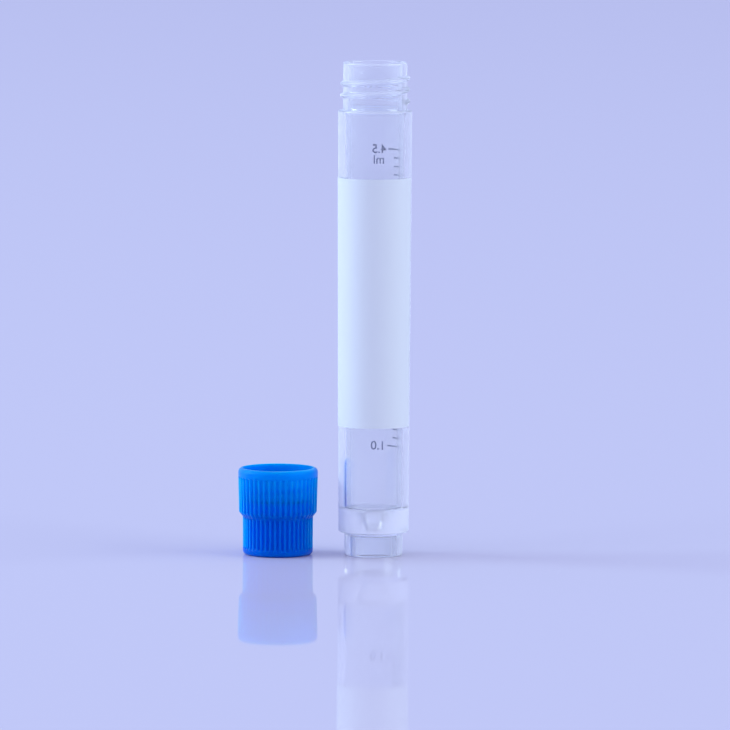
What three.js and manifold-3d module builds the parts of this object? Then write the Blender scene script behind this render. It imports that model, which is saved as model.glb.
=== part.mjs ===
// A 5 ml cryogenic storage vial with its screw cap off, in millimetres, +Z up.
//
// The tube stands on its ring-shaped foot. It is one clear moulding: lip, threaded neck, shoulder,
// drafted body, a bore whose floor falls to a conical well, and the foot. The cap stands beside it
// on its closed end with its mouth up. It is one coloured moulding, and a soft seal ring lies on
// the ledge in it.

import * as THREE from 'three';
import { mergeVertices } from 'three/addons/utils/BufferGeometryUtils.js';
import Module from 'manifold-3d';

const wasm = await Module();
wasm.setup();

// ---- Driving dimensions ----

// Neck of the tube
const NECK_R = 5.37;
const NECK_WALL = 0.75;
const NECK_HEIGHT = 8.05; // shoulder to lip
const LIP_ROUND = 0.25;

// Thread: one rounded right-hand ridge on the neck, and one like it inside the cap
const THREAD_PITCH = 1.95;
const THREAD_HEIGHT = 0.5; // neck to crest
const THREAD_WIDTH = 1.1; // at the ridge's foot
const NECK_THREAD_TURNS = 2;
const NECK_THREAD_RISE = 1.5; // shoulder to the middle of the ridge where it begins
const THREAD_RUNOUT = 0.06; // turns over which each end sinks into the wall
const THREAD_BURY = 0.2; // how deep the ridge's foot is rooted in the wall

// Body of the tube
const SHOULDER_WIDTH = 0.85; // neck out to body
const SHOULDER_ROUND = 0.35;
const BODY_LENGTH = 71.1; // underside to shoulder
const BODY_DRAFT = 0.32; // radius lost from shoulder to underside
const BODY_WALL = 1.3; // at the top of the bore
const BORE_DRAFT = 0.28; // radius lost from the top of the bore to its floor
const BORE_LEAD = 0.5; // height of the slope from the neck's bore to the body's
const UNDERSIDE_ROUND = 0.3;

// Bottom of the bore: a gently sloping floor, and a conical well in it for the last drops
const FLOOR_FALL = 0.6; // from the bore's wall to the well's edge
const WELL_R = 2.8;
const WELL_DEPTH = 3.4;
const WELL_TIP_R = 1.0;
const FLOOR_THICKNESS = 0.6; // under the well

// Foot
const FOOT_HEIGHT = 3.95; // table to the body's underside
const FOOT_SETBACK = 1.02; // in from the underside's edge
const FOOT_WALL = 1.16;
const FOOT_RECESS = 3.5; // depth of the hollow under the tube
const FOOT_ROUND = 0.2;

// White field printed on the body
const PANEL_DROP = 11.45; // shoulder to the field's top edge
const PANEL_HEIGHT = 41.9;
const PANEL_ARC = 180; // degrees round the body
const PANEL_TURN = -15; // degrees from the front to the field's middle, right side positive
const INK_THICKNESS = 0.06;
const INK_GAP = 0.03;

// Cap
const THREAD_CLEARANCE = 0.12; // crest of the neck's ridge to the cap's bore
const LIP_CLEARANCE = 0.15; // neck to the cap's ridge and to the pocket for the lip
const SKIRT_WALL = 0.71;
const SKIRT_HEIGHT = 7.44; // top of the step to the rim
const SKIRT_DRAFT = 0.15; // radius lost from the rim to the step
const STEP_HEIGHT = 0.75;
const STEP_WIDTH = 0.63;
const GRIP_HEIGHT = 6.5; // closed end to the step
const GRIP_DRAFT = 0.03; // radius lost from the step to the closed end
const GRIP_WALL = 1.58;
const END_ROUND = 0.75; // outside edge of the closed end
const RIM_ROUND = 0.7; // outside edge of the rim
const END_WALL = 1.2;
const END_RECESS_R = 3.9;
const END_RECESS_DEPTH = 0.8;
const DOME_ROUND = 0.5;
const LEDGE_DROP = 0.4; // top of the step down to the ledge inside
const LIP_POCKET = 1.3; // plain bore above the seal, round the lip
const CAP_THREAD_TURNS = 1.5;
const CAP_THREAD_SETBACK = 1.9; // rim to the middle of the ridge where it ends

// Ribs round the cap: flat-bottomed grooves cut into the skirt and the grip
const RIBS = 44;
const RIB_DEPTH = 0.2;
const RIB_FADE = 0.35; // height over which a groove gets its depth
const RIM_BAND = 0.65; // plain band between the ribs and the rim's round edge
const END_BAND = 0.3; // plain band between the ribs and the closed end's round edge
const STEP_BAND = 0.08; // under the step, where the grip's ribs begin

// Seal ring
const SEAL_THICKNESS = 0.8;
const SEAL_WIDTH = 1.15;
const SEAL_GAP = 0.05; // all round, and under it
const SEAL_ROUND = 0.15;

// Layout and fineness
const CAP_DISTANCE = 16.1; // between the axes of tube and cap
const SEGMENTS = 48; // facets round the tube
const FILLET_STEPS = 2;

// ---- Sizes that follow ----

const underside = FOOT_HEIGHT;
const shoulder = underside + BODY_LENGTH;
const lip = shoulder + NECK_HEIGHT;
const wellTip = FOOT_RECESS + FLOOR_THICKNESS;
const wellTop = wellTip + WELL_DEPTH;
const boreFloor = wellTop + FLOOR_FALL;
const bodyTopR = NECK_R + SHOULDER_WIDTH;
const bodyBottomR = bodyTopR - BODY_DRAFT;
const boreTopR = bodyTopR - BODY_WALL;
const neckBoreR = NECK_R - NECK_WALL;
const footR = bodyBottomR - FOOT_SETBACK;

const capBoreR = NECK_R + THREAD_HEIGHT + THREAD_CLEARANCE;
const pocketR = NECK_R + LIP_CLEARANCE;
const rimR = capBoreR + SKIRT_WALL;
const skirtFootR = rimR - SKIRT_DRAFT;
const gripTopR = skirtFootR - STEP_WIDTH;
const gripEndR = gripTopR - GRIP_DRAFT;
const stepTop = GRIP_HEIGHT + STEP_HEIGHT;
const rim = stepTop + SKIRT_HEIGHT;
const ledge = stepTop - LEDGE_DROP;
const domeR = gripEndR - GRIP_WALL;
const domeFloor = END_RECESS_DEPTH + END_WALL;

// The part's box is centred on the origin, so both axes lie off it.
const tubeX = (CAP_DISTANCE + rimR - bodyTopR) / 2;
const capX = tubeX - CAP_DISTANCE;

// ---- Materials ----

const clearPlastic = new THREE.MeshStandardMaterial({
  color: 0xdfe8f8, roughness: 0.08, metalness: 0, transparent: true, opacity: 0.4,
});
const bluePlastic = new THREE.MeshStandardMaterial({ color: 0x0a5be8, roughness: 0.35, metalness: 0 });
const silicone = new THREE.MeshStandardMaterial({ color: 0xe6e9ee, roughness: 0.6, metalness: 0 });
const whiteInk = new THREE.MeshStandardMaterial({ color: 0xf2f5fb, roughness: 0.7, metalness: 0 });

// ---- Shared operations ----

// The point `distance` from one point towards another, but never past the middle between them.
function towards(from, to, distance) {
  const step = to.clone().sub(from);
  return from.clone().add(step.setLength(Math.min(distance, step.length() / 2)));
}

// Points of an outline in the (radius, height) plane. A corner is [radius, height, fillet].
function outline(corners) {
  const at = corners.map(([radius, height]) => new THREE.Vector2(radius, height));
  const path = new THREE.Path();
  path.moveTo(at[0].x, at[0].y);
  for (let i = 1; i < corners.length; i += 1) {
    const fillet = corners[i][2] ?? 0;
    if (fillet > 0) {
      const before = towards(at[i], at[i - 1], fillet);
      const after = towards(at[i], at[i + 1], fillet);
      path.lineTo(before.x, before.y);
      path.quadraticCurveTo(at[i].x, at[i].y, after.x, after.y);
    } else {
      path.lineTo(at[i].x, at[i].y);
    }
  }
  return path.getPoints(FILLET_STEPS);
}

// A geometry as a solid that can be joined and cut.
function solid(geometry) {
  const bare = geometry.clone();
  bare.deleteAttribute('normal');
  bare.deleteAttribute('uv');
  const merged = mergeVertices(bare, 1e-5);
  const corners = merged.index.array;
  const triangles = [];
  for (let i = 0; i < corners.length; i += 3) {
    const [a, b, c] = corners.slice(i, i + 3);
    if (a !== b && b !== c && c !== a) triangles.push(a, b, c);
  }
  const vertProperties = merged.attributes.position.array;
  const triVerts = new Uint32Array(triangles);
  return new wasm.Manifold(new wasm.Mesh({ numProp: 3, vertProperties, triVerts }));
}

// A solid as a mesh with a name.
function meshOf(name, body, material) {
  const { vertProperties, triVerts } = body.getMesh();
  const geometry = new THREE.BufferGeometry();
  geometry.setAttribute('position', new THREE.BufferAttribute(vertProperties, 3));
  geometry.setIndex(new THREE.BufferAttribute(triVerts, 1));
  geometry.computeVertexNormals();
  const mesh = new THREE.Mesh(geometry, material);
  mesh.name = name;
  return mesh;
}

// A body of revolution about the Z axis.
function revolve(corners, segments = SEGMENTS) {
  return solid(new THREE.LatheGeometry(outline(corners), segments).rotateX(Math.PI / 2));
}

// A closed body through a row of rings with equally many points. The first and last rings are filled.
function loft(rings) {
  const count = rings[0].length;
  const last = (rings.length - 1) * count;
  const faces = [];
  for (let start = 0; start < last; start += count) {
    for (let i = 0; i < count; i += 1) {
      const a = start + i;
      const b = start + (i + 1) % count;
      faces.push(a, b, b + count, a, b + count, a + count);
    }
  }
  for (let i = 1; i + 1 < count; i += 1) {
    faces.push(0, i + 1, i, last, last + i, last + i + 1);
  }
  const geometry = new THREE.BufferGeometry().setFromPoints(rings.flat());
  geometry.setIndex(faces);
  return solid(geometry);
}

// A point at an angle round the Z axis.
function polar(radius, angle, z) {
  return new THREE.Vector3(radius * Math.cos(angle), radius * Math.sin(angle), z);
}

// A right-hand helical ridge on a wall. It stands outwards, or inwards where `side` is -1. Its
// section is rounded, it is rooted in the wall, and each end sinks into the wall.
function threadRidge(wallR, side, height, startZ, turns) {
  const section = [[-THREAD_BURY, -0.5], [-THREAD_BURY, 0.5], [0.65 * height, 0.3], [height, 0],
    [0.65 * height, -0.3]];
  if (side < 0) section.reverse();
  const span = turns + 2 * THREAD_RUNOUT;
  const steps = Math.round(span * SEGMENTS);
  const rings = [];
  for (let k = 0; k <= steps; k += 1) {
    const along = span * k / steps;
    const fade = Math.max(0.1, Math.min(1, along / THREAD_RUNOUT, (span - along) / THREAD_RUNOUT));
    const turn = along - THREAD_RUNOUT;
    rings.push(section.map(([rise, across]) => polar(
      wallR + side * (fade * (rise + THREAD_BURY) - THREAD_BURY),
      turn * 2 * Math.PI,
      startZ + turn * THREAD_PITCH + across * THREAD_WIDTH,
    )));
  }
  return loft(rings);
}

// ---- Tube ----

// Outside radius of the drafted body at a height.
function bodyR(z) {
  return bodyTopR - BODY_DRAFT * (shoulder - z) / BODY_LENGTH;
}

function makeTube() {
  const wall = revolve([
    [0, FOOT_RECESS],
    [footR - FOOT_WALL, FOOT_RECESS, FOOT_ROUND],
    [footR - FOOT_WALL, 0, FOOT_ROUND],
    [footR, 0, FOOT_ROUND],
    [footR, underside],
    [bodyBottomR, underside, UNDERSIDE_ROUND],
    [bodyTopR, shoulder, SHOULDER_ROUND],
    [NECK_R, shoulder],
    [NECK_R, lip, LIP_ROUND],
    [neckBoreR, lip, LIP_ROUND],
    [neckBoreR, shoulder],
    [boreTopR, shoulder - BORE_LEAD],
    [boreTopR - BORE_DRAFT, boreFloor],
    [WELL_R, wellTop],
    [WELL_TIP_R, wellTip, WELL_TIP_R / 2],
    [0, wellTip],
  ]);
  const thread = threadRidge(NECK_R, 1, THREAD_HEIGHT, shoulder + NECK_THREAD_RISE, NECK_THREAD_TURNS);
  return meshOf('tube', wall.add(thread), clearPlastic);
}

// The printed field: a skin of ink that follows the body's draft, cut to its arc by a wedge.
function makeWritingPanel() {
  const top = shoulder - PANEL_DROP;
  const bottom = top - PANEL_HEIGHT;
  const skin = revolve([
    [bodyR(bottom) + INK_GAP, bottom],
    [bodyR(bottom) + INK_GAP + INK_THICKNESS, bottom],
    [bodyR(top) + INK_GAP + INK_THICKNESS, top],
    [bodyR(top) + INK_GAP, top],
    [bodyR(bottom) + INK_GAP, bottom],
  ]);
  const middle = THREE.MathUtils.degToRad(PANEL_TURN - 90);
  const half = THREE.MathUtils.degToRad(PANEL_ARC / 2);
  const wedge = new THREE.Shape();
  wedge.moveTo(0, 0);
  wedge.absarc(0, 0, 2 * bodyTopR, middle - half, middle + half);
  const cutter = new THREE.ExtrudeGeometry(wedge, { depth: lip, bevelEnabled: false });
  return meshOf('writing_panel', skin.intersect(solid(cutter)), whiteInk);
}

// ---- Cap ----

// One ring of the cap's side: grooves with flat roots, `depth` deep, one of them facing the front.
function ribbedRing(radius, z, depth) {
  const pitch = 2 * Math.PI / RIBS;
  const profile = [[-0.2, depth], [0.2, depth], [0.36, 0], [0.64, 0]]; // share of a pitch, depth
  const ring = [];
  for (let i = 0; i < RIBS; i += 1) {
    for (const [share, inset] of profile) {
      ring.push(polar(radius - inset, (i + share) * pitch - Math.PI / 2, z));
    }
  }
  return ring;
}

// The cap's outside, from the closed end up. The skirt's grooves run out on the step, where its
// slope has come in as far as their roots.
function makeCapBlank() {
  const runout = stepTop - STEP_HEIGHT * RIB_DEPTH / STEP_WIDTH;
  const gripRibs = END_ROUND + END_BAND;
  const skirtRibs = rim - RIM_ROUND - RIM_BAND;
  const endEdge = outline([[0, 0], [gripEndR, 0, END_ROUND], [gripEndR, GRIP_HEIGHT]]).slice(1, -1);
  const rimEdge = outline([[rimR, 0], [rimR, rim, RIM_ROUND], [0, rim]]).slice(1, -1);
  return loft([
    ...endEdge.map(({ x, y }) => ribbedRing(x, y, 0)),
    ribbedRing(gripEndR, gripRibs, 0),
    ribbedRing(gripEndR, gripRibs + RIB_FADE, RIB_DEPTH),
    ribbedRing(gripTopR, GRIP_HEIGHT - STEP_BAND, RIB_DEPTH),
    ribbedRing(gripTopR, GRIP_HEIGHT, 0),
    ribbedRing(skirtFootR - RIB_DEPTH, runout, 0),
    ribbedRing(skirtFootR, stepTop, RIB_DEPTH),
    ribbedRing(rimR, skirtRibs - RIB_FADE, RIB_DEPTH),
    ribbedRing(rimR, skirtRibs, 0),
    ...rimEdge.map(({ x, y }) => ribbedRing(x, y, 0)),
  ]);
}

// The hollow: dome in the grip, ledge for the seal, pocket for the lip, and bore for the thread.
function makeCapHollow() {
  const pocketTop = ledge + SEAL_THICKNESS + SEAL_GAP + LIP_POCKET;
  return revolve([
    [0, domeFloor],
    [domeR, domeFloor, DOME_ROUND],
    [domeR, ledge],
    [pocketR, ledge],
    [pocketR, pocketTop],
    [capBoreR, pocketTop + capBoreR - pocketR],
    [capBoreR, rim + 1],
    [0, rim + 1],
  ]);
}

function makeCap() {
  const recess = revolve([
    [0, -1],
    [END_RECESS_R, -1],
    [END_RECESS_R, END_RECESS_DEPTH],
    [0, END_RECESS_DEPTH],
  ]);
  const start = rim - CAP_THREAD_SETBACK - CAP_THREAD_TURNS * THREAD_PITCH;
  const thread = threadRidge(capBoreR, -1, capBoreR - pocketR, start, CAP_THREAD_TURNS);
  const body = makeCapBlank().subtract(makeCapHollow()).subtract(recess).add(thread);
  return meshOf('cap', body, bluePlastic);
}

function makeSealRing() {
  const outerR = pocketR - SEAL_GAP;
  const innerR = outerR - SEAL_WIDTH;
  const bottom = ledge + SEAL_GAP;
  const top = bottom + SEAL_THICKNESS;
  const middle = (innerR + outerR) / 2;
  const ring = revolve([
    [middle, bottom],
    [outerR, bottom, SEAL_ROUND],
    [outerR, top, SEAL_ROUND],
    [innerR, top, SEAL_ROUND],
    [innerR, bottom, SEAL_ROUND],
    [middle, bottom],
  ]);
  return meshOf('seal_ring', ring, silicone);
}

// ---- Assembly ----

const tubeGroup = new THREE.Group();
tubeGroup.add(makeTube(), makeWritingPanel());
tubeGroup.position.x = tubeX;

const capGroup = new THREE.Group();
capGroup.add(makeCap(), makeSealRing());
capGroup.position.x = capX;

const group = new THREE.Group();
group.add(tubeGroup, capGroup);

export default group;
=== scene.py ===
# A self-standing 5 ml cryogenic vial with its screw cap off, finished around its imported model.
# The tube stands on its ring foot, and the cap stands beside it on its closed end. Lengths are in
# metres, in the model's own frame.

import math

import bmesh
import bpy
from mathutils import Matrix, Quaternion, Vector


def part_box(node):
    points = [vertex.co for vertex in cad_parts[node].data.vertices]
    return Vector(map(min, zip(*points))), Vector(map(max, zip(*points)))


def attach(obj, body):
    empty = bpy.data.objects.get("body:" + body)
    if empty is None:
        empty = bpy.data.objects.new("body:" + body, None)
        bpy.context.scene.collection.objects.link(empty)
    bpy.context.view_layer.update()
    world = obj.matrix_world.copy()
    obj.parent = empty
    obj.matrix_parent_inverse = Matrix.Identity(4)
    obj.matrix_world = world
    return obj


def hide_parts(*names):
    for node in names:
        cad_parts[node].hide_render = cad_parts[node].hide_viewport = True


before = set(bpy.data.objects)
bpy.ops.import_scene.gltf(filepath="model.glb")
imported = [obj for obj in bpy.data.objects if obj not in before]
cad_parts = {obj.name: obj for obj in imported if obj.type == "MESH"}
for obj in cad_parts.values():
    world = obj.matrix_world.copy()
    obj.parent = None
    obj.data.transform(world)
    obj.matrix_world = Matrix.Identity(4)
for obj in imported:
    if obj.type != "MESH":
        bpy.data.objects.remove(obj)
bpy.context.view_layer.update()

# ---- Tube ----
# One clear polypropylene moulding: lip, threaded neck, shoulder, drafted body, a bore with a
# conical bottom, and the ring foot. Its wall is turned from an outline, and the thread is raised
# from the neck.

MM = 0.001
SAME_PLACE = 0.001 * MM  # points closer than this are one point

tube_low, tube_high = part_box("tube")
TUBE_X = (tube_low.x + tube_high.x) / 2
TUBE_STEPS = 256
ROUND_STEPS = 6  # facets round a rounded corner

LIP_Z = tube_high.z
SHOULDER_Z = LIP_Z - 8.05 * MM
UNDERSIDE_Z = 3.95 * MM
RECESS_Z = 3.5 * MM
BORE_FLOOR_Z = 8.1 * MM
WELL_R = 2.8 * MM
WELL_TOP_Z = 7.5 * MM
WELL_TIP_R = 1.0 * MM
WELL_TIP_Z = 4.1 * MM

BODY_TOP_R = (tube_high.x - tube_low.x) / 2
BODY_BOTTOM_R = 5.90 * MM
NECK_R = 5.37 * MM
NECK_BORE_R = 4.62 * MM
BORE_TOP_R = 4.85 * MM
LEAD_TOP_Z = SHOULDER_Z + 0.5 * MM  # the bore begins to widen inside the shoulder
BORE_LEAD = 0.9 * MM
BORE_BOTTOM_R = 4.64 * MM
FOOT_R = 4.88 * MM
RECESS_R = 3.72 * MM

LIP_ROUND = 0.24 * MM
NECK_ROOT_ROUND = 0.12 * MM
SHOULDER_ROUND = 0.3 * MM
UNDERSIDE_ROUND = 0.3 * MM
FOOT_ROOT_ROUND = 0.15 * MM
FOOT_ROUND = 0.2 * MM
RECESS_ROUND = 0.25 * MM
LEAD_ROUND = 0.25 * MM
FLOOR_ROUND = 0.3 * MM
WELL_EDGE_ROUND = 0.4 * MM
WELL_TIP_ROUND = 0.5 * MM

THREAD_PITCH = 1.95 * MM
THREAD_RISE = 0.5 * MM
THREAD_HALF_WIDTH = 0.5 * MM
THREAD_RUNOUT = 0.07  # turns over which each end sinks into the wall
NECK_THREAD_Z = SHOULDER_Z + 1.5 * MM
NECK_THREAD_TURNS = 2.0
NECK_GRID_LOW_Z = NECK_THREAD_Z - 0.8 * MM  # the wall between these two is divided for the thread
NECK_GRID_HIGH_Z = NECK_THREAD_Z + NECK_THREAD_TURNS * THREAD_PITCH + 0.9 * MM
NECK_GRID_CUTS = 110


def pick(piece, wanted):
    """Selects the points of a piece in edit mode whose place passes the test."""
    shape = bmesh.from_edit_mesh(piece.data)
    for point in shape.verts:
        point.select_set(wanted(point.co))
    shape.select_flush_mode()
    bmesh.update_edit_mesh(piece.data)


def draw_outline(name, corners):
    """Draws an outline from a single point, corner by corner, and rounds its corners. A corner is
    (radius, height, rounding). The piece is left in edit mode, with its axis through the origin."""
    first_radius, first_height, _ = corners[0]
    bpy.ops.mesh.primitive_plane_add(size=MM, location=(first_radius, 0, first_height))
    piece = bpy.context.object
    piece.name = name
    bpy.ops.object.transform_apply(location=True, rotation=True, scale=True)
    bpy.ops.object.mode_set(mode="EDIT")
    bpy.ops.mesh.merge(type="CENTER")
    for start, end in zip(corners, corners[1:]):
        step = (end[0] - start[0], 0, end[1] - start[1])
        bpy.ops.mesh.extrude_region_move(TRANSFORM_OT_translate={"value": step})
    for radius, height, rounding in corners:
        if rounding > 0:
            corner = Vector((radius, 0, height))
            pick(piece, lambda place: (place - corner).length < SAME_PLACE)
            bpy.ops.mesh.bevel(offset=rounding, segments=ROUND_STEPS, affect="VERTICES")
    return piece


def cut_stretch(piece, low, high, cuts):
    """Divides each stretch of an outline that lies between two heights."""
    slack = 0.01 * MM
    pick(piece, lambda place: low - slack < place.z < high + slack)
    bpy.ops.mesh.subdivide(number_cuts=cuts)


def turn_outline(piece, axis_x, steps):
    """Turns an outline that is drawn round the origin into a closed piece, leaves edit mode and
    moves the piece to its axis."""
    bpy.ops.object.mode_set(mode="OBJECT")
    lathe = piece.modifiers.new("lathe", "SCREW")
    lathe.steps = steps
    lathe.render_steps = steps
    bpy.ops.object.modifier_apply(modifier=lathe.name)
    bpy.ops.object.mode_set(mode="EDIT")
    bpy.ops.mesh.select_all(action="SELECT")
    bpy.ops.mesh.remove_doubles(threshold=SAME_PLACE)
    bpy.ops.mesh.normals_make_consistent(inside=False)
    bpy.ops.object.mode_set(mode="OBJECT")
    piece.location.x = axis_x
    bpy.ops.object.transform_apply(location=True, rotation=True, scale=True)


def smooth_over(piece):
    """Shades a piece smooth apart from its sharp edges, with large faces kept true."""
    bpy.ops.object.shade_smooth_by_angle(angle=math.radians(40))
    weighting = piece.modifiers.new("weighting", "WEIGHTED_NORMAL")
    weighting.keep_sharp = True
    bpy.ops.object.modifier_apply(modifier=weighting.name)


def smooth_share(value):
    """A value held between 0 and 1, with both ends eased."""
    value = max(0, min(1, value))
    return value * value * (3 - 2 * value)


def thread_share(angle, height, start_height, turns):
    """How far a thread stands up at an angle and height, from 0 off the ridge to 1 on its crest."""
    turn = angle / (2 * math.pi) % 1
    along = turn + round((height - start_height) / THREAD_PITCH - turn)
    across = (height - start_height - along * THREAD_PITCH) / THREAD_HALF_WIDTH
    room = min(along + THREAD_RUNOUT, turns + THREAD_RUNOUT - along) / THREAD_RUNOUT
    if abs(across) >= 1:
        return 0
    return (1 - across * across) * smooth_share(room)


def scale_radius(point, axis_x, radius):
    """Moves a point straight out or in to a radius from an upright axis."""
    x, y = point.co.x - axis_x, point.co.y
    share = radius / math.hypot(x, y)
    point.co.x = axis_x + x * share
    point.co.y = y * share


tube = draw_outline("clear_tube", [
    (0, RECESS_Z, 0),
    (RECESS_R, RECESS_Z, RECESS_ROUND),
    (RECESS_R, 0, FOOT_ROUND),
    (FOOT_R, 0, FOOT_ROUND),
    (FOOT_R, UNDERSIDE_Z, FOOT_ROOT_ROUND),
    (BODY_BOTTOM_R, UNDERSIDE_Z, UNDERSIDE_ROUND),
    (BODY_TOP_R, SHOULDER_Z, SHOULDER_ROUND),
    (NECK_R, SHOULDER_Z, NECK_ROOT_ROUND),
    (NECK_R, NECK_GRID_LOW_Z, 0),
    (NECK_R, NECK_GRID_HIGH_Z, 0),
    (NECK_R, LIP_Z, LIP_ROUND),
    (NECK_BORE_R, LIP_Z, LIP_ROUND),
    (NECK_BORE_R, LEAD_TOP_Z, LEAD_ROUND),
    (BORE_TOP_R, LEAD_TOP_Z - BORE_LEAD, LEAD_ROUND),
    (BORE_BOTTOM_R, BORE_FLOOR_Z, FLOOR_ROUND),
    (WELL_R, WELL_TOP_Z, WELL_EDGE_ROUND),
    (WELL_TIP_R, WELL_TIP_Z, WELL_TIP_ROUND),
    (0, WELL_TIP_Z, 0),
])
cut_stretch(tube, NECK_GRID_LOW_Z, NECK_GRID_HIGH_Z, NECK_GRID_CUTS)
turn_outline(tube, TUBE_X, TUBE_STEPS)
neck_middle_r = (NECK_R + NECK_BORE_R) / 2
ridge = tube.data.attributes.new("thread_ridge", "FLOAT", "POINT")
for point in tube.data.vertices:
    x, y = point.co.x - TUBE_X, point.co.y
    if math.hypot(x, y) > neck_middle_r and NECK_GRID_LOW_Z < point.co.z < NECK_GRID_HIGH_Z:
        share = thread_share(math.atan2(y, x), point.co.z, NECK_THREAD_Z, NECK_THREAD_TURNS)
        scale_radius(point, TUBE_X, NECK_R + THREAD_RISE * share)
        ridge.data[point.index].value = share
smooth_over(tube)


def new_material(name):
    """A material with its nodes, ready to be filled in."""
    material = bpy.data.materials.new(name)
    material.use_nodes = True
    nodes = material.node_tree.nodes
    return material, nodes, material.node_tree.links, nodes["Principled BSDF"]


def feed(links, value, socket):
    """Sets a socket to a plain number, or links it to another node's output."""
    if isinstance(value, (int, float)):
        socket.default_value = value
    else:
        links.new(value, socket)


def noise_on_piece(nodes, links, waves):
    """A noise pattern that is fixed to the piece, with its waves counted per metre."""
    place = nodes.new("ShaderNodeTexCoord")
    noise = nodes.new("ShaderNodeTexNoise")
    noise.inputs["Scale"].default_value = waves
    noise.inputs["Detail"].default_value = 3
    links.new(place.outputs["Object"], noise.inputs["Vector"])
    return noise.outputs["Fac"]


def spread(nodes, links, source, low, high):
    """Maps a value from 0..1 to low..high."""
    ramp = nodes.new("ShaderNodeMapRange")
    ramp.inputs["To Min"].default_value = low
    ramp.inputs["To Max"].default_value = high
    links.new(source, ramp.inputs["Value"])
    return ramp.outputs["Result"]


def share_of_height(nodes, links, low, high):
    """0 at a low height on the piece and 1 at a high one."""
    place = nodes.new("ShaderNodeTexCoord")
    parts = nodes.new("ShaderNodeSeparateXYZ")
    links.new(place.outputs["Object"], parts.inputs["Vector"])
    share = nodes.new("ShaderNodeMapRange")
    share.inputs["From Min"].default_value = low
    share.inputs["From Max"].default_value = high
    links.new(parts.outputs["Z"], share.inputs["Value"])
    return share.outputs["Result"]


def facing_out(nodes, links, axis_x):
    """1 where a turned piece faces up, down or away from its axis, and 0 where it faces in."""
    place = nodes.new("ShaderNodeTexCoord")
    from_axis = nodes.new("ShaderNodeVectorMath")
    from_axis.operation = "SUBTRACT"
    from_axis.inputs[1].default_value = (axis_x, 0, 0)
    links.new(place.outputs["Object"], from_axis.inputs[0])
    flattened = nodes.new("ShaderNodeVectorMath")
    flattened.operation = "MULTIPLY"
    flattened.inputs[1].default_value = (1, 1, 0)
    links.new(from_axis.outputs["Vector"], flattened.inputs[0])
    outward = nodes.new("ShaderNodeVectorMath")
    outward.operation = "NORMALIZE"
    links.new(flattened.outputs["Vector"], outward.inputs[0])
    facing = nodes.new("ShaderNodeVectorMath")
    facing.operation = "DOT_PRODUCT"
    links.new(outward.outputs["Vector"], facing.inputs[0])
    links.new(place.outputs["Normal"], facing.inputs[1])
    gate = nodes.new("ShaderNodeMapRange")
    gate.inputs["From Min"].default_value = -0.3
    gate.inputs["From Max"].default_value = 0
    links.new(facing.outputs["Value"], gate.inputs["Value"])
    return gate.outputs["Result"]


def combine(nodes, links, operation, *values):
    """The result of one step of arithmetic. Each value is a number or a node's output."""
    result = nodes.new("ShaderNodeMath")
    result.operation = operation
    for value, socket in zip(values, result.inputs):
        feed(links, value, socket)
    return result.outputs["Value"]


def mix_finishes(nodes, links, share, first, second):
    """A finish between two. A share of 0 is all the first, and 1 is all the second."""
    mix = nodes.new("ShaderNodeMixShader")
    feed(links, share, mix.inputs["Fac"])
    links.new(first, mix.inputs[1])
    links.new(second, mix.inputs[2])
    return mix.outputs["Shader"]


def add_bump(nodes, links, shader, height, strength, distance):
    """Raises the surface by a height pattern."""
    bump = nodes.new("ShaderNodeBump")
    bump.inputs["Strength"].default_value = strength
    bump.inputs["Distance"].default_value = distance
    links.new(height, bump.inputs["Height"])
    links.new(bump.outputs["Normal"], shader.inputs["Normal"])


CLEAR_TINT = (0.98, 0.99, 1.0, 1)
PLASTIC_IOR = 1.49
STREAK_WAVES = 160
STREAK_ROUGHNESS = 0.03

WHITE_HAZE = (0.88, 0.90, 1.0, 1)
FACE_HAZE = 0.09  # looked at square on
EDGE_HAZE = 0.8  # looked at along the wall
THREAD_HAZE = 0.4  # on the thread's crest
INSIDE_HAZE = 0.05
THICK_HAZE = [  # height, and how milky the plastic is there, where the moulding is thick
    (3.7 * MM, 0),
    (4.2 * MM, 0.62),
    (7.9 * MM, 0.62),
    (8.5 * MM, 0),
    (SHOULDER_Z - 0.5 * MM, 0),
    (SHOULDER_Z - 0.2 * MM, 0.4),
    (SHOULDER_Z + 0.1 * MM, 0.4),
    (SHOULDER_Z + 0.4 * MM, 0),
    (LIP_Z - 0.5 * MM, 0),
    (LIP_Z - 0.2 * MM, 0.5),
]


def edge_haze(nodes, links):
    """Milkiness that grows as the wall is looked at along its length."""
    edge = nodes.new("ShaderNodeLayerWeight")
    edge.inputs["Blend"].default_value = 0.25
    return spread(nodes, links, edge.outputs["Facing"], FACE_HAZE, EDGE_HAZE)


def thick_haze(nodes, links):
    """Milkiness by height on the outside of the tube. The last value holds up to the lip."""
    ramp = nodes.new("ShaderNodeValToRGB")
    stops = ramp.color_ramp.elements
    for height, milkiness in THICK_HAZE:
        stops.new(height / LIP_Z).color = (milkiness, milkiness, milkiness, 1)
    stops[-1].color = stops[-2].color
    links.new(share_of_height(nodes, links, 0, LIP_Z), ramp.inputs["Fac"])
    outside = facing_out(nodes, links, TUBE_X)
    return combine(nodes, links, "MULTIPLY", ramp.outputs["Color"], outside)


def thread_haze(nodes, links, rest):
    """Milkiness of the thread, on top of the rest."""
    on_thread = nodes.new("ShaderNodeAttribute")
    on_thread.attribute_name = "thread_ridge"
    return combine(nodes, links, "MULTIPLY_ADD", on_thread.outputs["Fac"], THREAD_HAZE, rest)


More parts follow.
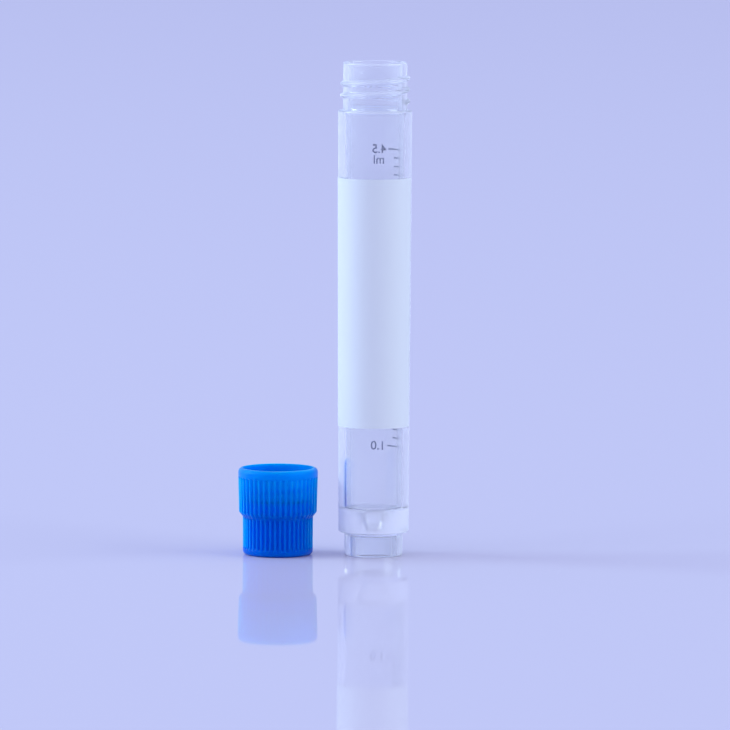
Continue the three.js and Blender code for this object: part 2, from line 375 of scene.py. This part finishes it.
clear_plastic, nodes, links, shader = new_material("clear_polypropylene")
shader.inputs["Base Color"].default_value = CLEAR_TINT
shader.inputs["Transmission Weight"].default_value = 1.0
shader.inputs["IOR"].default_value = PLASTIC_IOR
streaks = noise_on_piece(nodes, links, STREAK_WAVES)
links.new(spread(nodes, links, streaks, 0, STREAK_ROUGHNESS), shader.inputs["Roughness"])
haze = nodes.new("ShaderNodeBsdfDiffuse")
haze.inputs["Color"].default_value = WHITE_HAZE
glow = nodes.new("ShaderNodeBsdfTranslucent")
glow.inputs["Color"].default_value = WHITE_HAZE
moulded = thread_haze(nodes, links, thick_haze(nodes, links))
milkiness = combine(nodes, links, "MAXIMUM", edge_haze(nodes, links), moulded)
clear = shader.outputs["BSDF"]
from_outside = mix_finishes(nodes, links, milkiness, clear, haze.outputs["BSDF"])
from_inside = mix_finishes(nodes, links, INSIDE_HAZE, clear, glow.outputs["BSDF"])
side = nodes.new("ShaderNodeNewGeometry")
wall = mix_finishes(nodes, links, side.outputs["Backfacing"], from_outside, from_inside)
links.new(wall, nodes["Material Output"].inputs["Surface"])
tube.data.materials.append(clear_plastic)
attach(tube, "tube")
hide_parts("tube")

# ---- Writing panel ----
# A field of matt white ink, screen-printed round the near half of the body. It is a thin skin
# that follows the body's draft.

panel_low, panel_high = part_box("writing_panel")
PANEL_ARC = math.radians(180)
PANEL_END = math.radians(15)  # clockwise from +X, and the arc runs on clockwise from there
INK_LIFT = 0.03 * MM
PANEL_INK = 0.05 * MM
PANEL_RISE = 0.2 * MM  # the print sits a little high in its field
PANEL_ROWS = 24
PANEL_STEPS = 96

PANEL_WHITE = (0.76, 0.79, 0.84, 1)
PANEL_ROUGHNESS = 0.6
PANEL_GRAIN = 9000  # waves per metre


def body_radius(height):
    """Outside radius of the drafted body at a height."""
    share = (height - UNDERSIDE_Z) / (SHOULDER_Z - UNDERSIDE_Z)
    return BODY_BOTTOM_R + (BODY_TOP_R - BODY_BOTTOM_R) * share


panel_bottom_z = panel_low.z + PANEL_RISE
panel_top_z = panel_high.z + PANEL_RISE
panel = draw_outline("white_writing_panel", [
    (body_radius(panel_bottom_z) + INK_LIFT, panel_bottom_z, 0),
    (body_radius(panel_top_z) + INK_LIFT, panel_top_z, 0),
])
bpy.ops.mesh.select_all(action="SELECT")
bpy.ops.mesh.subdivide(number_cuts=PANEL_ROWS - 1)
bpy.ops.transform.rotate(value=PANEL_END, orient_axis="Z", center_override=(0, 0, 0))
bpy.ops.mesh.spin(steps=PANEL_STEPS, angle=PANEL_ARC, center=(0, 0, 0), axis=(0, 0, 1))
bpy.ops.mesh.select_all(action="SELECT")
bpy.ops.mesh.normals_make_consistent(inside=False)
bpy.ops.object.mode_set(mode="OBJECT")
panel.location.x = TUBE_X
bpy.ops.object.transform_apply(location=True, rotation=True, scale=True)
ink = panel.modifiers.new("ink", "SOLIDIFY")
ink.thickness = PANEL_INK
ink.offset = 1
bpy.ops.object.modifier_apply(modifier=ink.name)
smooth_over(panel)

white_ink, nodes, links, shader = new_material("white_screen_ink")
shader.inputs["Base Color"].default_value = PANEL_WHITE
shader.inputs["Roughness"].default_value = PANEL_ROUGHNESS
grain = noise_on_piece(nodes, links, PANEL_GRAIN)
add_bump(nodes, links, shader, grain, strength=0.12, distance=0.02 * MM)
panel.data.materials.append(white_ink)
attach(panel, "tube")
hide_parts("writing_panel")

# ---- Volume scale ----
# Lines and numbers in dark blue-grey ink, screen-printed on the body opposite the panel: a short
# line each 0.1 ml, and a long one with its number each 0.5 ml. They are laid out flat and then
# wrapped round the body.

SCALE_TOP_ML = 4.5
SCALE_BOTTOM_ML = 1.0
TENTHS_TO_A_NUMBER = 5
SCALE_TOP_Z = 68.16 * MM
TENTH_PITCH = 1.434 * MM
LINE_START = -7.0 * MM  # round the body, from its back
SHORT_LINE = 2.75 * MM
LONG_LINE = 4.2 * MM
LINE_WIDTH = 0.25 * MM
LINE_CUTS = 7  # so that a line can bend round the body
NUMBER_SIZE = 2.1 * MM
NUMBER_HALF_HEIGHT = 0.35 * NUMBER_SIZE
NUMBER_BOLD = 0.025 * MM
NUMBER_END = 0.65 * MM
NUMBER_STRETCH = 1.17  # width over the plain letter
UNIT_END = 0.38 * MM
UNIT_STRETCH = 1.13
UNIT_DROP = 1.8 * MM
SCALE_INK = 0.02 * MM

INK_DARK = (0.03, 0.05, 0.20, 1)
INK_THIN = (0.05, 0.08, 0.27, 1)
INK_ROUGHNESS = 0.5
INK_WAVES = 4000


def lay_line(length, height):
    """One printed line, laid flat."""
    middle = (LINE_START + length / 2, 0, height)
    bpy.ops.mesh.primitive_plane_add(size=1, location=middle, rotation=(math.pi / 2, 0, 0))
    line = bpy.context.object
    line.scale = (length, LINE_WIDTH, 1)
    bpy.ops.object.transform_apply(location=True, rotation=True, scale=True)
    bpy.ops.object.mode_set(mode="EDIT")
    bpy.ops.mesh.subdivide(number_cuts=LINE_CUTS)
    bpy.ops.object.mode_set(mode="OBJECT")
    return line


def lay_words(words, end, middle_height, stretch):
    """A printed number or word, laid flat."""
    place = (end, 0, middle_height - NUMBER_HALF_HEIGHT)
    bpy.ops.object.text_add(location=place, rotation=(math.pi / 2, 0, 0))
    print_run = bpy.context.object
    print_run.data.body = words
    print_run.data.size = NUMBER_SIZE
    print_run.data.align_x = "RIGHT"
    print_run.data.offset = NUMBER_BOLD
    print_run.scale.x = stretch
    bpy.ops.object.convert(target="MESH")
    bpy.ops.object.transform_apply(location=True, rotation=True, scale=True)
    return bpy.context.object


laid = []
tenths = round((SCALE_TOP_ML - SCALE_BOTTOM_ML) * 10)
for tenth in range(tenths + 1):
    height = SCALE_TOP_Z - tenth * TENTH_PITCH
    volume = SCALE_TOP_ML - tenth / 10
    if tenth % TENTHS_TO_A_NUMBER == 0:
        laid.append(lay_line(LONG_LINE, height))
        laid.append(lay_words(f"{volume:.1f}", NUMBER_END, height, NUMBER_STRETCH))
    else:
        laid.append(lay_line(SHORT_LINE, height))
laid.append(lay_words("ml", UNIT_END, SCALE_TOP_Z - UNIT_DROP, UNIT_STRETCH))
bpy.ops.object.select_all(action="DESELECT")
for part in laid:
    part.select_set(True)
bpy.context.view_layer.objects.active = laid[0]
bpy.ops.object.join()
scale_marks = bpy.context.object
scale_marks.name = "volume_scale"
bpy.ops.object.mode_set(mode="EDIT")
bpy.ops.mesh.select_all(action="SELECT")
bpy.ops.mesh.remove_doubles(threshold=SAME_PLACE / 10)
bpy.ops.object.mode_set(mode="OBJECT")
for point in scale_marks.data.vertices:
    radius = body_radius(point.co.z) + INK_LIFT
    angle = math.pi / 2 + point.co.x / radius
    point.co.x = TUBE_X + radius * math.cos(angle)
    point.co.y = radius * math.sin(angle)
ink = scale_marks.modifiers.new("ink", "SOLIDIFY")
ink.thickness = SCALE_INK
ink.offset = 1
bpy.ops.object.modifier_apply(modifier=ink.name)


def mix_colours(nodes, links, share, first, second):
    """A colour between two. A share of 0 is all the first, and 1 is all the second."""
    share_in, first_in, second_in, colour_out = 0, 6, 7, 2  # where the node keeps its colours
    mix = nodes.new("ShaderNodeMix")
    mix.data_type = "RGBA"
    mix.inputs[first_in].default_value = first
    mix.inputs[second_in].default_value = second
    links.new(share, mix.inputs[share_in])
    return mix.outputs[colour_out]


dark_ink, nodes, links, shader = new_material("slate_screen_ink")
shader.inputs["Roughness"].default_value = INK_ROUGHNESS
density = noise_on_piece(nodes, links, INK_WAVES)
links.new(mix_colours(nodes, links, density, INK_DARK, INK_THIN), shader.inputs["Base Color"])
scale_marks.data.materials.append(dark_ink)
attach(scale_marks, "tube")

# ---- Cap ----
# One blue polypropylene moulding that stands on its closed end: a wide skirt that covers the
# thread, a step, and a narrower grip, both ribbed. The hollow is a bore with an inner thread, a
# pocket for the lip, a ledge for the seal and a dome.

cap_low, cap_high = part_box("cap")
CAP_X = (cap_low.x + cap_high.x) / 2
RIBS = 44
CAP_STEPS = RIBS * 12

RIM_Z = cap_high.z
RIM_R = 6.70 * MM
CAP_BORE_R = 5.99 * MM
SKIRT_FOOT_R = 6.55 * MM
STEP_TOP_Z = 7.25 * MM
GRIP_TOP_R = 5.92 * MM
GRIP_TOP_Z = 6.50 * MM
GRIP_END_R = 5.89 * MM
END_RECESS_R = 3.9 * MM
END_RECESS_Z = 0.8 * MM
POCKET_R = 5.52 * MM
POCKET_Z = 9.00 * MM
LEDGE_Z = 6.85 * MM
DOME_R = 4.31 * MM
DOME_FLOOR_Z = 2.0 * MM

RIM_ROUND = 0.7 * MM
MOUTH_ROUND = 0.25 * MM
STEP_TOP_ROUND = 0.12 * MM
STEP_FOOT_ROUND = 0.04 * MM
END_ROUND = 0.75 * MM
END_RECESS_ROUND = 0.15 * MM
LEDGE_ROUND = 0.1 * MM
DOME_ROUND = 0.5 * MM

RIB_DEPTH = 0.3 * MM
SKIRT_RIB_TOP_Z = RIM_Z - 1.35 * MM
GRIP_RIB_FOOT_Z = 1.05 * MM
GRIP_RIB_TOP_Z = GRIP_TOP_Z - 0.05 * MM
RIB_FADE = 0.4 * MM
GRIP_TOP_FADE = RIB_FADE / 3
GROOVE_LEVEL = 0.65  # more of it widens the grooves
GROOVE_SWING = 0.8  # more of it steepens the ribs' sides

CAP_THREAD_RISE = 0.22 * MM
CAP_THREAD_TURNS = 1.5
CAP_THREAD_Z = RIM_Z - 1.9 * MM - CAP_THREAD_TURNS * THREAD_PITCH
CAP_GRID_LOW_Z = CAP_THREAD_Z - 0.7 * MM  # the wall between these two is divided for the thread
CAP_GRID_HIGH_Z = RIM_Z - 0.9 * MM
CAP_GRID_CUTS = 32
BORE_SLACK = 0.05 * MM  # a point this far outside the bore still counts as on it

cap = draw_outline("blue_cap", [
    (0, END_RECESS_Z, 0),
    (END_RECESS_R, END_RECESS_Z, END_RECESS_ROUND),
    (END_RECESS_R, 0, END_RECESS_ROUND),
    (GRIP_END_R, 0, END_ROUND),
    (GRIP_END_R, GRIP_RIB_FOOT_Z, 0),
    (GRIP_END_R, GRIP_RIB_FOOT_Z + RIB_FADE, 0),
    (GRIP_TOP_R, GRIP_RIB_TOP_Z - RIB_FADE, 0),
    (GRIP_TOP_R, GRIP_TOP_Z, STEP_FOOT_ROUND),
    (SKIRT_FOOT_R, STEP_TOP_Z, STEP_TOP_ROUND),
    (RIM_R, SKIRT_RIB_TOP_Z - RIB_FADE, 0),
    (RIM_R, SKIRT_RIB_TOP_Z, 0),
    (RIM_R, RIM_Z, RIM_ROUND),
    (CAP_BORE_R, RIM_Z, MOUTH_ROUND),
    (CAP_BORE_R, CAP_GRID_HIGH_Z, 0),
    (CAP_BORE_R, CAP_GRID_LOW_Z, 0),
    (CAP_BORE_R, POCKET_Z + CAP_BORE_R - POCKET_R, 0),
    (POCKET_R, POCKET_Z, 0),
    (POCKET_R, LEDGE_Z, 0),
    (DOME_R, LEDGE_Z, LEDGE_ROUND),
    (DOME_R, DOME_FLOOR_Z, DOME_ROUND),
    (0, DOME_FLOOR_Z, 0),
])
cut_stretch(cap, CAP_GRID_LOW_Z, CAP_GRID_HIGH_Z, CAP_GRID_CUTS)
turn_outline(cap, CAP_X, CAP_STEPS)


def groove_share(angle):
    """0 on a rib and 1 in a groove, with one groove facing the front."""
    return smooth_share(GROOVE_LEVEL + GROOVE_SWING * math.cos(RIBS * (angle + math.pi / 2)))


def skirt_limit(height, groove):
    """Radius that the skirt's grooves are cut down to. They fade out under the rim."""
    share = (height - STEP_TOP_Z) / (SKIRT_RIB_TOP_Z - RIB_FADE - STEP_TOP_Z)
    wall = SKIRT_FOOT_R + (RIM_R - SKIRT_FOOT_R) * min(share, 1)
    return wall - RIB_DEPTH * groove * smooth_share((SKIRT_RIB_TOP_Z - height) / RIB_FADE)


def grip_limit(height, groove):
    """Radius that the grip's grooves are cut down to. They fade out at both ends."""
    share = (height - GRIP_RIB_FOOT_Z) / (GRIP_RIB_TOP_Z - GRIP_RIB_FOOT_Z)
    wall = GRIP_END_R + (GRIP_TOP_R - GRIP_END_R) * share
    foot_ease = smooth_share((height - GRIP_RIB_FOOT_Z) / RIB_FADE)
    top_ease = smooth_share((GRIP_RIB_TOP_Z - height) / GRIP_TOP_FADE)
    return wall - RIB_DEPTH * groove * foot_ease * top_ease


for point in cap.data.vertices:
    x, y, height = point.co.x - CAP_X, point.co.y, point.co.z
    radius, angle = math.hypot(x, y), math.atan2(y, x)
    grip_outside = radius > GRIP_END_R - RIB_DEPTH
    skirt_outside = radius > CAP_BORE_R + BORE_SLACK
    in_bore = POCKET_R < radius <= CAP_BORE_R + BORE_SLACK
    if grip_outside and GRIP_RIB_FOOT_Z < height < GRIP_RIB_TOP_Z:
        scale_radius(point, CAP_X, min(radius, grip_limit(height, groove_share(angle))))
    elif skirt_outside and GRIP_TOP_Z < height < SKIRT_RIB_TOP_Z:
        scale_radius(point, CAP_X, min(radius, skirt_limit(height, groove_share(angle))))
    elif in_bore and CAP_GRID_LOW_Z < height < CAP_GRID_HIGH_Z:
        share = thread_share(angle, height, CAP_THREAD_Z, CAP_THREAD_TURNS)
        scale_radius(point, CAP_X, CAP_BORE_R - CAP_THREAD_RISE * share)
smooth_over(cap)

# Painted light and shade in the cap's colour: the blue runs by height from the darker grip up to
# the lighter rim. Part of this is the grip's thicker plastic. Part is painted shade low down and
# under the step, and painted light from above on the rim.
GRIP_BLUE_AND_PAINTED_SHADE = (0.0, 0.11, 0.63, 1)  # the thick end is a deeper blue than the thin skirt, and holds painted shade as well
RIM_BLUE_AND_PAINTED_LIGHT = (0.0, 0.225, 0.80, 1)
SHEEN_BLUE = (0.0, 0.6, 1.0, 1)
BLUE_DEPTH = 2.4 * MM  # how far light runs in the plastic, before its share for each colour
BLUE_DEPTH_SHARES = (0.15, 1.2, 1.6)
FLOW_WAVES = 350
SKIN_WAVES = 5000

blue_plastic, nodes, links, shader = new_material("blue_polypropylene")
shader.inputs["Specular IOR Level"].default_value = 0.12
shader.inputs["Specular Tint"].default_value = SHEEN_BLUE
shader.inputs["Subsurface Weight"].default_value = 1.0
shader.inputs["Subsurface Radius"].default_value = BLUE_DEPTH_SHARES
shader.inputs["Subsurface Scale"].default_value = BLUE_DEPTH
# Painted light and shade: the base colour goes from the shaded grip blue to the lit rim blue by
# height.
painted_light_up_the_skirt = share_of_height(nodes, links, GRIP_TOP_Z, RIM_Z)
links.new(mix_colours(nodes, links, painted_light_up_the_skirt, GRIP_BLUE_AND_PAINTED_SHADE, RIM_BLUE_AND_PAINTED_LIGHT), shader.inputs["Base Color"])
flow = noise_on_piece(nodes, links, FLOW_WAVES)
links.new(spread(nodes, links, flow, 0.3, 0.38), shader.inputs["Roughness"])
skin = noise_on_piece(nodes, links, SKIN_WAVES)
add_bump(nodes, links, shader, skin, strength=0.06, distance=0.02 * MM)
cap.data.materials.append(blue_plastic)
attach(cap, "cap")
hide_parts("cap")

# ---- Seal ring ----
# A loose ring of pale silicone. It lies on the cap's ledge and closes on the tube's lip when the
# cap is screwed home.

seal_low, seal_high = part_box("seal_ring")
SEAL_R = (seal_high.x - seal_low.x) / 2
SEAL_WIDTH = 1.15 * MM
SEAL_HOLE_R = SEAL_R - SEAL_WIDTH
SEAL_MIDDLE_Z = (seal_low.z + seal_high.z) / 2
SEAL_ROUND = 0.3 * MM
SEAL_STEPS = 128

SEAL_GREY = (0.80, 0.82, 0.85, 1)
SEAL_DEPTH = 0.8 * MM
SEAL_WAVES = 3000

seal = draw_outline("silicone_seal_ring", [
    (SEAL_HOLE_R, SEAL_MIDDLE_Z, 0),
    (SEAL_HOLE_R, seal_low.z, SEAL_ROUND),
    (SEAL_R, seal_low.z, SEAL_ROUND),
    (SEAL_R, seal_high.z, SEAL_ROUND),
    (SEAL_HOLE_R, seal_high.z, SEAL_ROUND),
    (SEAL_HOLE_R, SEAL_MIDDLE_Z, 0),
])
turn_outline(seal, CAP_X, SEAL_STEPS)
smooth_over(seal)

silicone, nodes, links, shader = new_material("pale_silicone")
shader.inputs["Base Color"].default_value = SEAL_GREY
shader.inputs["Roughness"].default_value = 0.5
shader.inputs["Subsurface Weight"].default_value = 0.4
shader.inputs["Subsurface Radius"].default_value = (1, 1, 1)
shader.inputs["Subsurface Scale"].default_value = SEAL_DEPTH
skin = noise_on_piece(nodes, links, SEAL_WAVES)
add_bump(nodes, links, shader, skin, strength=0.05, distance=0.02 * MM)
seal.data.materials.append(silicone)
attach(seal, "cap")
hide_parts("seal_ring")

# ---- Floor and light ----
# A wide glossy lavender floor. The sky is lavender behind, greyer in front, and brighter on the
# left. Wide softboxes stand far off: one on each side, and a weaker one in front on the left.

FLOOR_SIZE = 12
FLOOR_LAVENDER = (0.76, 0.70, 0.85, 1)
FLOOR_GLOSS = 0.38

bpy.ops.mesh.primitive_plane_add(size=FLOOR_SIZE, location=(0, 0, 0))
floor = bpy.context.object
floor.name = "floor"
floor_finish, nodes, links, shader = new_material("glossy_lavender")
matt = nodes.new("ShaderNodeBsdfDiffuse")
matt.inputs["Color"].default_value = FLOOR_LAVENDER
gloss = nodes.new("ShaderNodeBsdfGlossy")
gloss.inputs["Roughness"].default_value = 0.03
lacquered = mix_finishes(nodes, links, FLOOR_GLOSS, matt.outputs["BSDF"], gloss.outputs["BSDF"])
links.new(lacquered, nodes["Material Output"].inputs["Surface"])
nodes.remove(shader)
floor.data.materials.append(floor_finish)

SKY_BEHIND = (0.50, 0.57, 0.95, 1)
SKY_IN_FRONT = (0.53, 0.55, 0.79, 1)
SKY_BLEND = 0.3  # how far to each side of the middle the two colours meet
SKY_LEFT_STRENGTH = 1.25
SKY_RIGHT_STRENGTH = 0.7

sky = bpy.data.worlds.new("sky")
sky.use_nodes = True
nodes, links = sky.node_tree.nodes, sky.node_tree.links
direction = nodes.new("ShaderNodeTexCoord")
parts = nodes.new("ShaderNodeSeparateXYZ")
links.new(direction.outputs["Generated"], parts.inputs["Vector"])
front_to_back = nodes.new("ShaderNodeMapRange")
front_to_back.inputs["From Min"].default_value = -SKY_BLEND
front_to_back.inputs["From Max"].default_value = SKY_BLEND
links.new(parts.outputs["Y"], front_to_back.inputs["Value"])
tint = mix_colours(nodes, links, front_to_back.outputs["Result"], SKY_IN_FRONT, SKY_BEHIND)
links.new(tint, nodes["Background"].inputs["Color"])
left_to_right = nodes.new("ShaderNodeMapRange")
left_to_right.inputs["From Min"].default_value = -1
left_to_right.inputs["To Min"].default_value = SKY_LEFT_STRENGTH
left_to_right.inputs["To Max"].default_value = SKY_RIGHT_STRENGTH
links.new(parts.outputs["X"], left_to_right.inputs["Value"])
links.new(left_to_right.outputs["Result"], nodes["Background"].inputs["Strength"])
bpy.context.scene.world = sky

SOFTBOX_DISTANCE = 3.3
SOFTBOX_ELEVATION = math.radians(25)
SOFTBOX_TALL = 0.9


def add_softbox(name, azimuth, width, power, colour):
    """A softbox that faces the vial. Azimuth 0 is in front, and positive degrees are right."""
    turn = math.radians(azimuth)
    level = math.cos(SOFTBOX_ELEVATION)
    outward = Vector((level * math.sin(turn), -level * math.cos(turn), math.sin(SOFTBOX_ELEVATION)))
    bpy.ops.object.light_add(type="AREA", location=SOFTBOX_DISTANCE * outward)
    light = bpy.context.object
    light.name = name
    light.rotation_euler = outward.to_track_quat("Z", "Y").to_euler()
    light.data.shape = "RECTANGLE"
    light.data.size = width
    light.data.size_y = SOFTBOX_TALL
    light.data.energy = power
    light.data.color = colour


add_softbox("left_softbox", azimuth=-98, width=1.5, power=49, colour=(0.68, 0.94, 0.95))
add_softbox("front_left_softbox", azimuth=-62, width=1.6, power=15, colour=(0.74, 0.95, 1.0))
add_softbox("right_softbox", azimuth=77, width=2.8, power=47, colour=(0.83, 1.0, 0.98))

# ---- Camera ----
# A long lens that looks down a little on the vial and its cap. Light is caught in the clear wall
# and runs along it, so rays are followed for many bounces.

CAMERA_DISTANCE = 1.5388
CAMERA_ELEVATION = math.radians(5.835)
CAMERA_ROLL = math.radians(0.228)
CAMERA_LENS = 451.4
CAMERA_AIM = Vector((6.75 * MM, 0, 32.07 * MM))
VIEW_REACH = 50
WALL_BOUNCES = 40

away = Vector((0, -math.cos(CAMERA_ELEVATION), math.sin(CAMERA_ELEVATION)))
bpy.ops.object.camera_add(location=CAMERA_AIM + CAMERA_DISTANCE * away)
camera = bpy.context.object
facing = (-away).to_track_quat("-Z", "Y")
camera.rotation_euler = (facing @ Quaternion((0, 0, 1), CAMERA_ROLL)).to_euler()
camera.data.lens = CAMERA_LENS
camera.data.sensor_width = 36
camera.data.clip_end = VIEW_REACH
bpy.context.scene.camera = camera
bpy.context.scene.view_settings.view_transform = "Standard"
bpy.context.scene.cycles.max_bounces = WALL_BOUNCES
bpy.context.scene.cycles.glossy_bounces = WALL_BOUNCES
bpy.context.scene.cycles.transmission_bounces = WALL_BOUNCES

bpy.context.view_layer.update()
